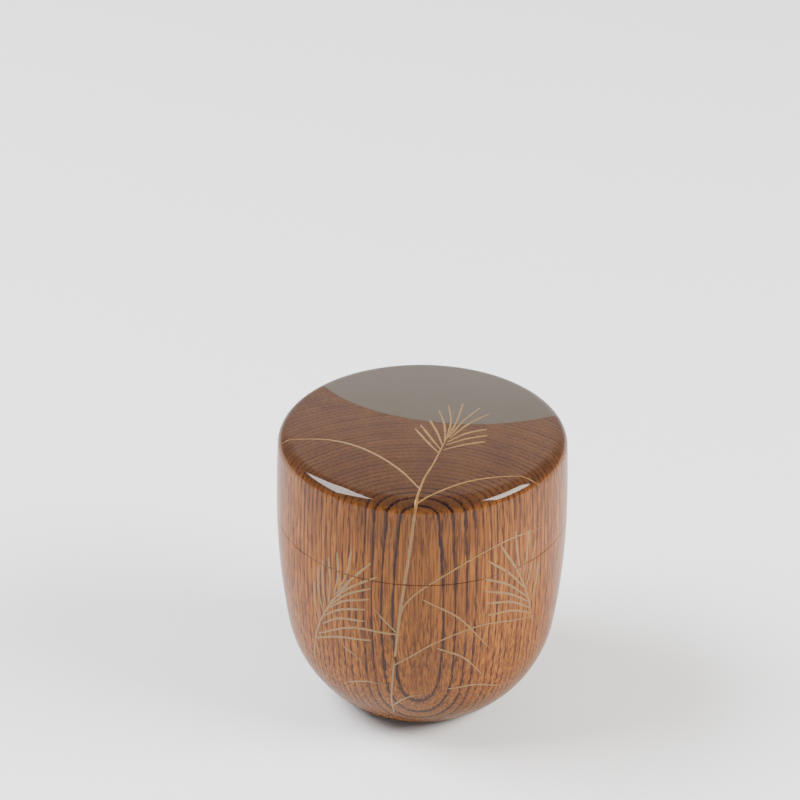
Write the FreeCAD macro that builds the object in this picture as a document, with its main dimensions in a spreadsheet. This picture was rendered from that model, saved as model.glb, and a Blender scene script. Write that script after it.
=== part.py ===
import FreeCAD, Part
import os
import Sketcher

# A medium natsume: a turned wooden tea caddy with a lift-off lid, lacquered inside,
# with a metal-dusted moon and pampas grass on the outside.
# The origin is at the middle of the foot, +Z is the turning axis and the grass faces -Y.
# Every driving dimension is in millimetres, or in degrees for moon_turn.

DIMENSIONS = {
    # outside outline, from the foot to the top of the lid
    "max_radius": 33.0,
    "total_height": 69.8,
    "seam_height": 48.0,
    "foot_radius": 16.5,
    "recess_radius": 13.8,
    "recess_depth": 0.8,
    "base_arc_radius": 29.0,
    "belly_arc_radius": 175.0,
    "side_arc_radius": 350.0,
    "shoulder_radius": 3.4,
    "dome_arc_radius": 339.0,
    "foot_round": 0.5,
    "lip_chamfer": 0.18,
    # inside, with its coat of lacquer on
    "lacquer_thickness": 0.25,
    "cavity_radius": 29.2,
    "cavity_arc_radius": 24.0,
    "floor_height": 4.2,
    "rim_radius": 30.8,
    "rim_height": 6.5,
    "rim_round": 0.55,
    "fit_clearance": 0.08,
    "ceiling_height": 66.35,
    "ceiling_arc_radius": 4.75,
    # the layer of lacquer and metal dust on the outside
    "layer_thickness": 0.08,
    "layer_gap": 0.3,
    "layer_bottom": 6.4,
    "moon_reach": 36.5,
    "moon_height": 60.0,
    "moon_radius": 36.6,
    "moon_turn": 14.6,
    "stem_width": 0.45,
    "blade_width": 0.5,
    "rib_width": 0.6,
    "tip_width": 0.14,
}

# A stroke's width at its root, as a share of its full width, which it has at its middle.
ROOT_SHARE = 2 / 3
# How far outside the caddy the strokes are drawn before they are pushed into it.
CLEAR = 1.0

# Strokes of the grass. Each is one arc through three points: root, middle and tip.
# Side strokes are drawn in the front view as (x, z), top strokes in the plan as (x, y).
SIDE_STROKES = {
    "stem": [
        ((-6.4, 8.2), (-6.8, 15.0), (-6.35, 24.0)),
        ((-6.35, 24.0), (-5.5, 34.0), (-4.6, 43.0)),
        ((-4.6, 43.0), (-3.2, 54.0), (-1.5, 68.0)),
        ((-24.3, 20.5), (-23.4, 29.0), (-20.5, 38.0)),
        ((24.8, 30.5), (23.4, 39.0), (20.6, 48.0)),
    ],
    "blade": [
        ((-5.2, 38.0), (-3.1, 44.2), (1.5, 48.3)),
        ((1.5, 48.3), (13.0, 54.8), (27.0, 54.8)),
        ((-6.3, 25.5), (-1.5, 29.4), (3.9, 33.0)),
        ((3.9, 33.0), (14.0, 35.6), (25.2, 32.0)),
        ((0.0, 44.4), (8.0, 38.8), (14.9, 28.8)),
        ((3.3, 31.0), (9.2, 27.4), (14.0, 20.5)),
        ((-5.8, 35.2), (-8.7, 38.4), (-11.0, 41.2)),
        ((-15.0, 18.1), (-12.4, 19.6), (-9.3, 20.0)),
        ((-6.6, 12.0), (-3.5, 15.7), (0.5, 17.2)),
        ((-17.5, 27.8), (-15.2, 26.4), (-13.2, 24.7)),
        ((6.0, 18.6), (12.5, 18.3), (18.5, 14.8)),
    ],
    "rib": [
        ((-23.9, 26.2), (-18.5, 30.0), (-11.4, 31.8)),
        ((-23.3, 28.0), (-15.5, 34.0), (-4.7, 34.6)),
        ((-22.3, 31.5), (-18.5, 35.3), (-12.7, 36.8)),
        ((-22.0, 34.0), (-18.0, 38.0), (-12.6, 40.0)),
        ((-21.2, 36.5), (-17.3, 40.6), (-11.7, 43.0)),
        ((-20.5, 38.0), (-16.5, 42.8), (-11.3, 46.0)),
        ((-20.2, 39.3), (-15.7, 45.0), (-10.0, 49.2)),
        ((-19.6, 41.0), (-15.6, 47.0), (-11.3, 52.5)),
        ((-18.5, 43.0), (-16.5, 48.5), (-15.5, 54.6)),
        ((-19.4, 41.6), (-18.5, 47.2), (-18.7, 52.9)),
        ((-20.6, 38.5), (-20.3, 45.0), (-20.6, 50.6)),
        ((-21.3, 36.8), (-22.0, 43.5), (-21.9, 49.4)),
        ((-21.9, 34.5), (-23.0, 41.0), (-22.8, 47.4)),
        ((-22.8, 31.8), (-23.8, 37.0), (-23.9, 42.5)),
        ((24.3, 33.5), (20.0, 36.9), (14.4, 38.1)),
        ((24.2, 35.0), (19.8, 39.4), (14.1, 41.4)),
        ((23.8, 37.0), (19.2, 41.9), (13.7, 44.7)),
        ((23.5, 38.5), (18.9, 44.5), (13.5, 48.0)),
        ((23.0, 41.0), (18.9, 47.6), (14.2, 52.4)),
        ((22.3, 43.5), (19.8, 49.6), (17.0, 55.4)),
        ((21.8, 45.0), (20.9, 51.0), (20.2, 57.8)),
        ((22.2, 43.8), (22.9, 50.0), (23.3, 56.6)),
        ((22.9, 41.0), (24.1, 47.0), (24.9, 53.0)),
        ((24.0, 36.0), (25.3, 41.8), (25.6, 47.0)),
    ],
}
TOP_STROKES = {
    "stem": [
        ((-1.75, -32.0), (-0.9, -27.0), (0.3, -22.5)),
        ((0.3, -22.5), (2.3, -16.5), (4.7, -8.4)),
    ],
    "blade": [
        ((-0.8, -26.5), (-5.6, -18.6), (-12.8, -10.8)),
        ((-12.8, -10.8), (-21.0, -6.4), (-31.5, -5.0)),
        ((-1.7, -32.0), (8.5, -24.3), (25.6, -20.0)),
    ],
    "rib": [
        ((3.4, -12.5), (0.9, -7.8), (-1.7, -2.3)),
        ((3.8, -11.0), (1.5, -5.5), (-0.5, -0.6)),
        ((4.4, -10.0), (3.3, -4.2), (1.6, 1.6)),
        ((4.8, -8.5), (4.9, -1.0), (3.7, 6.3)),
        ((5.0, -7.5), (6.3, 0.5), (5.9, 8.7)),
        ((5.4, -6.5), (7.7, 1.5), (9.2, 9.8)),
        ((5.8, -6.0), (9.0, 1.2), (13.0, 7.8)),
        ((6.0, -6.5), (10.0, -0.2), (15.0, 5.2)),
        ((5.4, -8.0), (9.5, -4.2), (14.4, -1.8)),
        ((5.0, -9.3), (9.5, -6.5), (14.4, -4.6)),
        ((4.4, -11.3), (9.0, -9.0), (13.8, -7.3)),
    ],
}

document = FreeCAD.newDocument("TeaCaddy")


def make_sheet():
    """The spreadsheet that drives every size: the alias is the name in DIMENSIONS."""
    sheet = document.addObject("Spreadsheet::Sheet", "dims")
    for row, (name, value) in enumerate(DIMENSIONS.items(), start=1):
        sheet.set("A%d" % row, name)
        sheet.set("B%d" % row, str(value))
        sheet.setAlias("B%d" % row, name)
    document.recompute()
    return sheet


def new_body(label):
    body = document.addObject("PartDesign::Body", label)
    body.Label = label
    body.Placement = FreeCAD.Placement()
    return body


class HalfSection:
    """A closed outline on a body's XZ plane, radius across and height up.

    The points given are only where each segment is drawn first. The constraints, which read
    the sheet, put it in its place.
    """

    def __init__(self, body):
        self.sketch = body.newObject("Sketcher::SketchObject", body.Label + "_section")
        planes = [item for item in body.Origin.OriginFeatures if item.Role == "XZ_Plane"]
        self.sketch.AttachmentSupport = [(planes[0], "")]
        self.sketch.MapMode = "FlatFace"
        self.ends = []

    def add(self, curve, backwards, smooth):
        """Add one segment after the last one. A smooth one carries on its direction."""
        number = self.sketch.addGeometry(curve, False)
        first, last = (number, 1), (number, 2)
        if backwards:
            first, last = last, first
        if self.ends:
            self.meet(self.ends[-1][1], first, smooth)
        self.ends.append((first, last))
        return number

    def meet(self, one, other, smooth):
        kind = "Tangent" if smooth else "Coincident"
        self.sketch.addConstraint(Sketcher.Constraint(kind, *one, *other))

    def line(self, start, end, smooth=False):
        segment = Part.LineSegment(FreeCAD.Vector(*start, 0), FreeCAD.Vector(*end, 0))
        return self.add(segment, False, smooth)

    def arc(self, start, through, end, radius, smooth=False):
        """An arc by three rough points. The sketcher keeps arcs anticlockwise."""
        points = [FreeCAD.Vector(*point, 0) for point in (start, through, end)]
        clockwise = (points[1] - points[0]).cross(points[2] - points[1]).z < 0
        if clockwise:
            points.reverse()
        curve = Part.Arc(*points).toShape().Curve
        number = self.add(Part.Arc(*points), clockwise, smooth)
        self.bind(Sketcher.Constraint("Radius", number, curve.Radius), radius)
        return number

    def close(self):
        self.meet(self.ends[-1][1], self.ends[0][0], False)

    def bind(self, constraint, expression):
        index = self.sketch.addConstraint(constraint)
        self.sketch.setExpression("Constraints[%d]" % index, expression)

    def place(self, point, across=None, height=None):
        """Fix a point by expressions, or put it on the axis or the ground with 0."""
        where = self.sketch.getPoint(*point)
        if across == 0:
            self.sketch.addConstraint(Sketcher.Constraint("PointOnObject", *point, -2))
        elif across and where.x > 0:
            self.bind(Sketcher.Constraint("DistanceX", -1, 1, *point, where.x), across)
        elif across:
            self.bind(Sketcher.Constraint("DistanceX", *point, -1, 1, -where.x), across)
        if height == 0:
            self.sketch.addConstraint(Sketcher.Constraint("PointOnObject", *point, -1))
        elif height:
            self.bind(Sketcher.Constraint("DistanceY", -1, 1, *point, where.y), height)

    def place_start(self, number, across=None, height=None):
        self.place(self.ends[number][0], across, height)

    def place_centre(self, number, across=None, height=None):
        self.place((number, 3), across, height)

    def run_through(self, number, rough, across):
        """Make an arc's circle pass through a point on the ground, given roughly and by radius."""
        point = (self.sketch.addGeometry(Part.Point(FreeCAD.Vector(*rough, 0)), True), 1)
        self.place(point, across, 0)
        self.sketch.addConstraint(Sketcher.Constraint("PointOnObject", *point, number))


def turn(body, section):
    """Turn the finished section once round the Z axis."""
    feature = body.newObject("PartDesign::Revolution", body.Label + "_turned")
    feature.Profile = section.sketch
    feature.ReferenceAxis = (section.sketch, ["V_Axis"])
    feature.Angle = 360.0
    document.recompute()
    if not section.sketch.FullyConstrained:
        raise RuntimeError("the section of %s can still move" % body.Label)
    return feature


def rings(feature, places):
    """The names of the round edges at the given (radius, height) places."""
    names = []
    for radius, height in places:
        found = []
        for number, edge in enumerate(feature.Shape.Edges, start=1):
            if edge.Degenerated or not isinstance(edge.Curve, Part.Circle):
                continue
            curve = edge.Curve
            if abs(curve.Radius - radius) < 1e-3 and abs(curve.Center.z - height) < 1e-3:
                found.append("Edge%d" % number)
        if not found:
            raise RuntimeError("no ring of radius %g at height %g" % (radius, height))
        names += found
    return names


def dress(body, kind, suffix, size_property, expression, places):
    """Round or bevel the rings at the given places on the body's last feature."""
    base = body.Tip
    feature = body.newObject("PartDesign::" + kind, body.Label + suffix)
    feature.Base = (base, rings(base, places))
    feature.setExpression(size_property, expression)
    document.recompute()
    return feature


def make_body_shell(size):
    """The lower half of the caddy: bowl, foot, ledge and the raised rim inside it."""
    body = new_body("body_shell")
    section = HalfSection(body)
    section.line((13.8, 0.0), (16.5, 0.0))
    base = section.arc((16.5, 0.0), (25.6, 8.1), (30.9, 20.7), "dims.base_arc_radius")
    belly = section.arc((30.9, 20.7), (32.45, 34.5), (33.0, 48.0),
                        "dims.belly_arc_radius", smooth=True)
    ledge = section.line((33.0, 48.0), (30.55, 48.0))
    rim_outside = section.line((30.55, 48.0), (30.55, 54.25))
    rim_top = section.line((30.55, 54.25), (29.45, 54.25))
    wall = section.line((29.45, 54.25), (29.45, 28.2))
    corner = section.arc((29.45, 28.2), (22.35, 11.05), (5.2, 3.95),
                         "dims.cavity_arc_radius + dims.lacquer_thickness", smooth=True)
    floor = section.line((5.2, 3.95), (0.0, 3.95), smooth=True)
    core = section.line((0.0, 3.95), (0.0, 0.8))
    recess = section.line((0.0, 0.8), (13.8, 0.8))
    recess_wall = section.line((13.8, 0.8), (13.8, 0.0))
    section.close()
    section.place_start(0, "dims.recess_radius", 0)
    section.place_start(base, "dims.foot_radius", 0)
    section.place_centre(belly, height="dims.seam_height")
    section.place_start(ledge, "dims.max_radius", "dims.seam_height")
    rim = "dims.rim_radius - dims.lacquer_thickness"
    rim_height = "dims.seam_height + dims.rim_height - dims.lacquer_thickness"
    cavity = "dims.cavity_radius + dims.lacquer_thickness"
    section.place_start(rim_outside, rim, "dims.seam_height")
    section.place_start(rim_top, rim, rim_height)
    section.place_start(wall, cavity, rim_height)
    section.place_start(corner, cavity)
    section.place_start(core, 0, "dims.floor_height - dims.lacquer_thickness")
    section.place_start(floor, height="dims.floor_height - dims.lacquer_thickness")
    section.place_start(recess, 0, "dims.recess_depth")
    section.place_start(recess_wall, "dims.recess_radius", "dims.recess_depth")
    turn(body, section)
    dress(body, "Fillet", "_foot", "Radius", "dims.foot_round", [(size("foot_radius"), 0.0)])
    dress(body, "Chamfer", "_lip", "Size", "dims.lip_chamfer",
          [(size("max_radius"), size("seam_height"))])
    top = size("seam_height") + size("rim_height") - size("lacquer_thickness")
    dress(body, "Fillet", "_rim", "Radius", "dims.rim_round - dims.lacquer_thickness",
          [(size("rim_radius") - size("lacquer_thickness"), top),
           (size("cavity_radius") + size("lacquer_thickness"), top)])
    return body


def make_body_lining(size):
    """The lacquer on the bowl's inside, over the rim and down it to the ledge."""
    body = new_body("body_lining")
    section = HalfSection(body)
    edge = section.line((30.55, 48.0), (30.8, 48.0))
    outside = section.line((30.8, 48.0), (30.8, 54.5))
    top = section.line((30.8, 54.5), (29.2, 54.5))
    wall = section.line((29.2, 54.5), (29.2, 28.2))
    corner = section.arc((29.2, 28.2), (22.17, 11.23), (5.2, 4.2),
                         "dims.cavity_arc_radius", smooth=True)
    floor = section.line((5.2, 4.2), (0.0, 4.2), smooth=True)
    core = section.line((0.0, 4.2), (0.0, 3.95))
    under_floor = section.line((0.0, 3.95), (5.2, 3.95))
    back_corner = section.arc((5.2, 3.95), (22.35, 11.05), (29.45, 28.2),
                              "dims.cavity_arc_radius + dims.lacquer_thickness", smooth=True)
    back_wall = section.line((29.45, 28.2), (29.45, 54.25), smooth=True)
    back_top = section.line((29.45, 54.25), (30.55, 54.25))
    back_outside = section.line((30.55, 54.25), (30.55, 48.0))
    section.close()
    rim = "dims.rim_radius - dims.lacquer_thickness"
    rim_height = "dims.seam_height + dims.rim_height"
    back_height = rim_height + " - dims.lacquer_thickness"
    cavity = "dims.cavity_radius + dims.lacquer_thickness"
    section.place_start(edge, rim, "dims.seam_height")
    section.place_start(outside, "dims.rim_radius", "dims.seam_height")
    section.place_start(top, "dims.rim_radius", rim_height)
    section.place_start(wall, "dims.cavity_radius", rim_height)
    section.place_start(corner, "dims.cavity_radius")
    section.place_start(floor, height="dims.floor_height")
    section.place_start(core, 0, "dims.floor_height")
    section.place_start(under_floor, 0, "dims.floor_height - dims.lacquer_thickness")
    section.place_start(back_corner, height="dims.floor_height - dims.lacquer_thickness")
    section.place_start(back_wall, cavity)
    section.place_start(back_top, cavity, back_height)
    section.place_start(back_outside, rim, back_height)
    turn(body, section)
    outer = size("seam_height") + size("rim_height")
    inner = outer - size("lacquer_thickness")
    dress(body, "Fillet", "_rim_outer", "Radius", "dims.rim_round",
          [(size("rim_radius"), outer), (size("cavity_radius"), outer)])
    dress(body, "Fillet", "_rim_inner", "Radius", "dims.rim_round - dims.lacquer_thickness",
          [(size("rim_radius") - size("lacquer_thickness"), inner),
           (size("cavity_radius") + size("lacquer_thickness"), inner)])
    return body


def place_lid_outline(section, side, dome):
    """Fix the lid's outside: a side that starts upright at the seam, and a low dome."""
    section.place_centre(side, "dims.side_arc_radius - dims.max_radius", "dims.seam_height")
    section.place_centre(dome, 0)


def make_lid_shell(size):
    """The lid: a deep cap whose outside carries on the bowl's curve at the seam."""
    body = new_body("lid_shell")
    section = HalfSection(body)
    inside = "dims.rim_radius + dims.fit_clearance + dims.lacquer_thickness"
    ceiling_height = "dims.ceiling_height + dims.lacquer_thickness"
    edge = section.line((31.15, 48.0), (33.0, 48.0))
    side = section.arc((33.0, 48.0), (32.9, 56.7), (32.57, 65.3), "dims.side_arc_radius")
    section.arc((32.57, 65.3), (31.66, 67.45), (29.47, 68.52), "dims.shoulder_radius", smooth=True)
    dome = section.arc((29.47, 68.52), (14.7, 69.48), (0.0, 69.8),
                       "dims.dome_arc_radius", smooth=True)
    core = section.line((0.0, 69.8), (0.0, 66.6))
    ceiling = section.line((0.0, 66.6), (26.15, 66.6))
    corner = section.arc((26.15, 66.6), (29.69, 65.14), (31.15, 61.6),
                         "dims.ceiling_arc_radius + dims.lacquer_thickness", smooth=True)
    wall = section.line((31.15, 61.6), (31.15, 48.0), smooth=True)
    section.close()
    place_lid_outline(section, side, dome)
    section.place_start(edge, inside, "dims.seam_height")
    section.place_start(side, height="dims.seam_height")
    section.place_start(core, 0, "dims.total_height")
    section.place_start(ceiling, 0, ceiling_height)
    section.place_start(corner, height=ceiling_height)
    section.place_start(wall, inside)
    turn(body, section)
    dress(body, "Chamfer", "_lip", "Size", "dims.lip_chamfer",
          [(size("max_radius"), size("seam_height"))])
    return body


def make_lid_lining():
    """The lacquer on the lid's ceiling and wall, down to its lower edge."""
    body = new_body("lid_lining")
    section = HalfSection(body)
    inside = "dims.rim_radius + dims.fit_clearance"
    edge = section.line((30.9, 48.0), (31.15, 48.0))
    back_wall = section.line((31.15, 48.0), (31.15, 61.6))
    back_corner = section.arc((31.15, 61.6), (29.69, 65.14), (26.15, 66.6),
                              "dims.ceiling_arc_radius + dims.lacquer_thickness", smooth=True)
    back_ceiling = section.line((26.15, 66.6), (0.0, 66.6), smooth=True)
    core = section.line((0.0, 66.6), (0.0, 66.35))
    ceiling = section.line((0.0, 66.35), (26.15, 66.35))
    corner = section.arc((26.15, 66.35), (29.51, 64.96), (30.9, 61.6),
                         "dims.ceiling_arc_radius", smooth=True)
    wall = section.line((30.9, 61.6), (30.9, 48.0), smooth=True)
    section.close()
    section.place_start(edge, inside, "dims.seam_height")
    section.place_start(back_wall, inside + " + dims.lacquer_thickness", "dims.seam_height")
    section.place_start(back_corner, inside + " + dims.lacquer_thickness")
    section.place_start(back_ceiling, height="dims.ceiling_height + dims.lacquer_thickness")
    section.place_start(core, 0, "dims.ceiling_height + dims.lacquer_thickness")
    section.place_start(ceiling, 0, "dims.ceiling_height")
    section.place_start(corner, height="dims.ceiling_height")
    section.place_start(wall, inside)
    turn(body, section)
    return body


def make_lid_layer():
    """The room that a decoration has on the lid: a thin layer all over its outside."""
    body = new_body("lid_layer")
    section = HalfSection(body)
    edge = section.line((32.99, 48.3), (33.07, 48.3))
    side = section.arc((33.07, 48.3), (32.98, 56.7), (32.65, 65.3),
                       "dims.side_arc_radius + dims.layer_thickness")
    section.arc((32.65, 65.3), (31.72, 67.5), (29.48, 68.6),
                "dims.shoulder_radius + dims.layer_thickness", smooth=True)
    dome = section.arc((29.48, 68.6), (14.7, 69.56), (0.0, 69.88),
                       "dims.dome_arc_radius + dims.layer_thickness", smooth=True)
    core = section.line((0.0, 69.88), (0.0, 69.8))
    back_dome = section.arc((0.0, 69.8), (14.7, 69.48), (29.47, 68.52), "dims.dome_arc_radius")
    section.arc((29.47, 68.52), (31.66, 67.45), (32.57, 65.3), "dims.shoulder_radius", smooth=True)
    back_side = section.arc((32.57, 65.3), (32.9, 56.7), (32.99, 48.3),
                            "dims.side_arc_radius", smooth=True)
    section.close()
    edge_height = "dims.seam_height + dims.layer_gap"
    place_lid_outline(section, side, dome)
    place_lid_outline(section, back_side, back_dome)
    section.place_start(core, 0, "dims.total_height + dims.layer_thickness")
    section.place_start(back_dome, 0, "dims.total_height")
    section.place_start(edge, height=edge_height)
    section.place_start(side, height=edge_height)
    turn(body, section)
    return body


def make_body_layer():
    """The room that a decoration has on the bowl: a thin layer from near its foot to the seam."""
    body = new_body("body_layer")
    section = HalfSection(body)
    edge = section.line((24.2, 6.4), (24.3, 6.4))
    base = section.arc((24.3, 6.4), (28.6, 13.1), (30.94, 20.7),
                       "dims.base_arc_radius + dims.layer_thickness")
    belly = section.arc((30.94, 20.7), (32.5, 34.5), (33.08, 47.7),
                        "dims.belly_arc_radius + dims.layer_thickness", smooth=True)
    top = section.line((33.08, 47.7), (33.0, 47.7))
    back_belly = section.arc((33.0, 47.7), (32.45, 34.5), (30.86, 20.7), "dims.belly_arc_radius")
    back_base = section.arc((30.86, 20.7), (28.5, 13.1), (24.2, 6.4),
                            "dims.base_arc_radius", smooth=True)
    section.close()
    belly_centre = "dims.belly_arc_radius - dims.max_radius"
    section.place_centre(belly, belly_centre, "dims.seam_height")
    section.place_centre(back_belly, belly_centre, "dims.seam_height")
    section.sketch.addConstraint(Sketcher.Constraint("Horizontal", base, 3, back_base, 3))
    section.run_through(back_base, (16.5, 0.0), "dims.foot_radius")
    section.place_start(top, height="dims.seam_height - dims.layer_gap")
    section.place_start(back_belly, height="dims.seam_height - dims.layer_gap")
    section.place_start(edge, height="dims.layer_bottom")
    section.place_start(base, height="dims.layer_bottom")
    turn(body, section)
    return body


def make_moon_ball():
    """The ball that marks the moon: its cut through the caddy's outside is the moon's edge."""
    ball = document.addObject("Part::Sphere", "moon_ball")
    ball.setExpression("Radius", "dims.moon_radius")
    ball.setExpression("Placement.Base.x", "dims.moon_reach * sin(dims.moon_turn * 1deg)")
    ball.setExpression("Placement.Base.y", "dims.moon_reach * cos(dims.moon_turn * 1deg)")
    ball.setExpression("Placement.Base.z", "dims.moon_height")
    return ball


def stroke_face(points, width, tip_width, to_space):
    """A tapered stroke along the arc through three points, as a flat face."""
    root, middle, tip = [FreeCAD.Vector(*point, 0) for point in points]
    arc = Part.Arc(root, middle, tip)
    across = []
    for point in (root, middle, tip):
        tangent = arc.tangent(arc.parameter(point))[0]
        across.append(FreeCAD.Vector(-tangent.y, tangent.x, 0))
    halves = (width * ROOT_SHARE / 2, width / 2, tip_width / 2)
    sections = list(zip((root, middle, tip), across, halves))
    left = [to_space(point + side * half) for point, side, half in sections]
    right = [to_space(point - side * half) for point, side, half in sections]
    edges = [
        Part.Arc(*left).toShape(),
        Part.LineSegment(left[2], right[2]).toShape(),
        Part.Arc(*reversed(right)).toShape(),
        Part.LineSegment(right[0], left[0]).toShape(),
    ]
    return Part.Face(Part.Wire(edges))


def stroke_prism(label, strokes, to_space, direction, size):
    """All strokes of one view joined in their plane, then pushed through the caddy's wall."""
    faces = []
    for kind, arcs in strokes.items():
        for points in arcs:
            faces.append(stroke_face(points, size(kind + "_width"), size("tip_width"), to_space))
    pieces = faces[0].multiFuse(faces[1:]).Faces
    joined = Part.makeShell(pieces).removeSplitter()
    feature = document.addObject("Part::Feature", label)
    feature.Shape = Part.makeCompound([face.extrude(direction) for face in joined.Faces])
    return feature


def make_common(label, base, tool):
    feature = document.addObject("Part::Common", label)
    feature.Base = base
    feature.Tool = tool
    feature.Label = label
    return feature


def make_cut(label, base, tool):
    feature = document.addObject("Part::Cut", label)
    feature.Base = base
    feature.Tool = tool
    feature.Label = label
    return feature


def make_decoration(size):
    """The moon and the grass, each split at the seam so that its halves part with the lid."""
    lid_layer = make_lid_layer()
    body_layer = make_body_layer()
    ball = make_moon_ball()
    front = -size("max_radius") - CLEAR
    above = size("total_height") + CLEAR
    below_shoulder = size("ceiling_height") - size("shoulder_radius")

    def on_front(point):
        return FreeCAD.Vector(point.x, front, point.y)

    def over_lid(point):
        return FreeCAD.Vector(point.x, point.y, above)

    side = stroke_prism("side_strokes", SIDE_STROKES, on_front, FreeCAD.Vector(0, -front, 0), size)
    down = FreeCAD.Vector(0, 0, below_shoulder - above)
    top = stroke_prism("top_strokes", TOP_STROKES, over_lid, down, size)
    document.recompute()
    side_on_lid = make_common("side_strokes_on_lid", lid_layer, side)
    top_on_lid = make_common("top_strokes_on_lid", lid_layer, top)
    lid_grass = document.addObject("Part::MultiFuse", "lid_grass")
    lid_grass.Label = "lid_grass"
    lid_grass.Shapes = [side_on_lid, top_on_lid]
    body_grass = make_common("body_grass", body_layer, side)
    whole_moon = make_common("lid_moon_whole", lid_layer, ball)
    moon_lid = make_cut("moon_lid", whole_moon, top)
    moon_body = make_common("moon_body", body_layer, ball)
    document.recompute()
    return [moon_lid, moon_body, lid_grass, body_grass]


def check(parts):
    """Stop if anything failed to build, or is not a valid shape made of solids."""
    for item in document.Objects:
        if "Invalid" in item.State or "Error" in item.State:
            raise RuntimeError("%s: %s" % (item.Label, item.State))
    for part in parts:
        shape = part.Shape
        if shape.isNull() or not shape.isValid() or not shape.Solids:
            raise RuntimeError("%s has no valid shape" % part.Label)
        print("%-12s %3d solids %10.2f mm3" % (part.Label, len(shape.Solids), shape.Volume))


def main():
    sheet = make_sheet()

    def size(name):
        return float(sheet.get(name))

    parts = [
        make_body_shell(size),
        make_body_lining(size),
        make_lid_shell(size),
        make_lid_lining(),
    ]
    parts += make_decoration(size)
    document.recompute()
    check(parts)
    os.makedirs("parts", exist_ok=True)
    for part in parts:
        part.Shape.exportStep("parts/%s.step" % part.Label)


main()
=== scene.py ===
import math

import bmesh
import bpy
import numpy as np
from mathutils import Matrix, Vector


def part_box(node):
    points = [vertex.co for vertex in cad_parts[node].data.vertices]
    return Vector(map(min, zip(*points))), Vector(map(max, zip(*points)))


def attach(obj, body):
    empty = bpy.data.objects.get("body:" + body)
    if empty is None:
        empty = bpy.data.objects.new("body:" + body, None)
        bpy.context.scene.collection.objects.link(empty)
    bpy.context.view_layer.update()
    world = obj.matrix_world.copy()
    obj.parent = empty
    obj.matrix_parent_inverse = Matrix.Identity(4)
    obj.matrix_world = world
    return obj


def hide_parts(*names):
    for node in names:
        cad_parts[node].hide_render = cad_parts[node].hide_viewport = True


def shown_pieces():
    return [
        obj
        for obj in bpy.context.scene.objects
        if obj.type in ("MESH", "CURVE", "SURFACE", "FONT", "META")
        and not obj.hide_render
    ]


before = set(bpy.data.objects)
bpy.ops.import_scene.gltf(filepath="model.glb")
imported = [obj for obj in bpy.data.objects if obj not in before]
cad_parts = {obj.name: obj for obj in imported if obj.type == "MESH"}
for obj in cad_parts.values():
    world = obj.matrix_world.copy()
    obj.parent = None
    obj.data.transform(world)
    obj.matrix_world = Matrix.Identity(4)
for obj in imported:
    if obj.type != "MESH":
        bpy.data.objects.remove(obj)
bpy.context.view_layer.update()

MM = 0.001
TINY = 1e-7                                   # in metres: closer than this is the same place

# ---------------------------------------------------------------- sizes, from the frame
_, SHELL_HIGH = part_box("body_shell")
LID_LOW, LID_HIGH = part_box("lid_shell")
BODY_LINING_LOW, BODY_LINING_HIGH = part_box("body_lining")
_, LID_LINING_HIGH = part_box("lid_lining")

MAX_RADIUS = LID_HIGH.x
SEAM = LID_LOW.z
TOP = LID_HIGH.z
COAT = BODY_LINING_HIGH.z - SHELL_HIGH.z      # thickness of the lacquer inside
RIM_TOP = BODY_LINING_HIGH.z
RIM_RADIUS = BODY_LINING_HIGH.x
FLOOR = BODY_LINING_LOW.z + COAT
LID_WALL = LID_LINING_HIGH.x                  # the lid's bare wooden inside
CEILING = LID_LINING_HIGH.z

# the outline's arcs, as the design has them
FOOT_RADIUS = 16.5 * MM
FOOT_ROUND = 0.5 * MM
RECESS_RADIUS = 13.8 * MM
RECESS_DEPTH = 0.8 * MM
RECESS_ROUND = 0.25 * MM
BASE_ARC = 29.0 * MM
BELLY_ARC = 175.0 * MM
SIDE_ARC = 350.0 * MM
SHOULDER_ARC = 3.4 * MM
DOME_ARC = 339.0 * MM
LIP = 0.18 * MM
CAVITY_RADIUS = 29.2 * MM
CAVITY_ARC = 24.0 * MM
CEILING_ARC = 4.75 * MM
RIM_ROUND = 0.55 * MM

# how far apart the points on each sort of curve are
SHARP_STEP = 0.14 * MM
INSIDE_LID_STEP = 0.6 * MM
BASE_STEP = 0.7 * MM
LONG_STEP = 0.9 * MM
CAVITY_STEP = 1.0 * MM

TURNS = 240                                   # segments round the turning axis
MERGE_DISTANCE = 0.002 * MM                   # points closer than this are merged in a mesh


# ---------------------------------------------------------------- outline
def crossing(centre_a, radius_a, centre_b, radius_b):
    """Where two circles meet, the point further out and higher up."""
    a, b = Vector(centre_a), Vector(centre_b)
    between = b - a
    along = (radius_a ** 2 - radius_b ** 2 + between.length_squared) / (2 * between.length)
    height = math.sqrt(max(0.0, radius_a ** 2 - along ** 2))
    foot = a + between.normalized() * along
    across = Vector((-between.y, between.x)).normalized() * height
    return max((foot + across, foot - across), key=lambda p: p.x + 0.01 * p.y)


def touch(outer_centre, outer_radius, inner_centre):
    """Where an inner circle touches the outer one that it lies in."""
    return outer_centre + (inner_centre - outer_centre).normalized() * outer_radius


def arc(centre, start, end, step):
    """Points from start to end round a centre, the shorter way."""
    radius = (start - centre).length
    first = math.atan2(start.y - centre.y, start.x - centre.x)
    last = math.atan2(end.y - centre.y, end.x - centre.x)
    turn = (last - first + math.pi) % (2 * math.pi) - math.pi
    count = max(3, round(abs(turn) * radius / step))
    angles = [first + turn * k / count for k in range(count + 1)]
    return [centre + radius * Vector((math.cos(a), math.sin(a))) for a in angles]


def line(start, end, step=1.0 * MM):
    """Points from start to end, straight."""
    count = max(1, round((end - start).length / step))
    return [start.lerp(end, k / count) for k in range(count + 1)]


def join(*runs):
    """One list of points, with no point twice."""
    points = []
    for run in runs:
        for point in run:
            if not points or (point - points[-1]).length > TINY:
                points.append(point)
    return points


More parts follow.
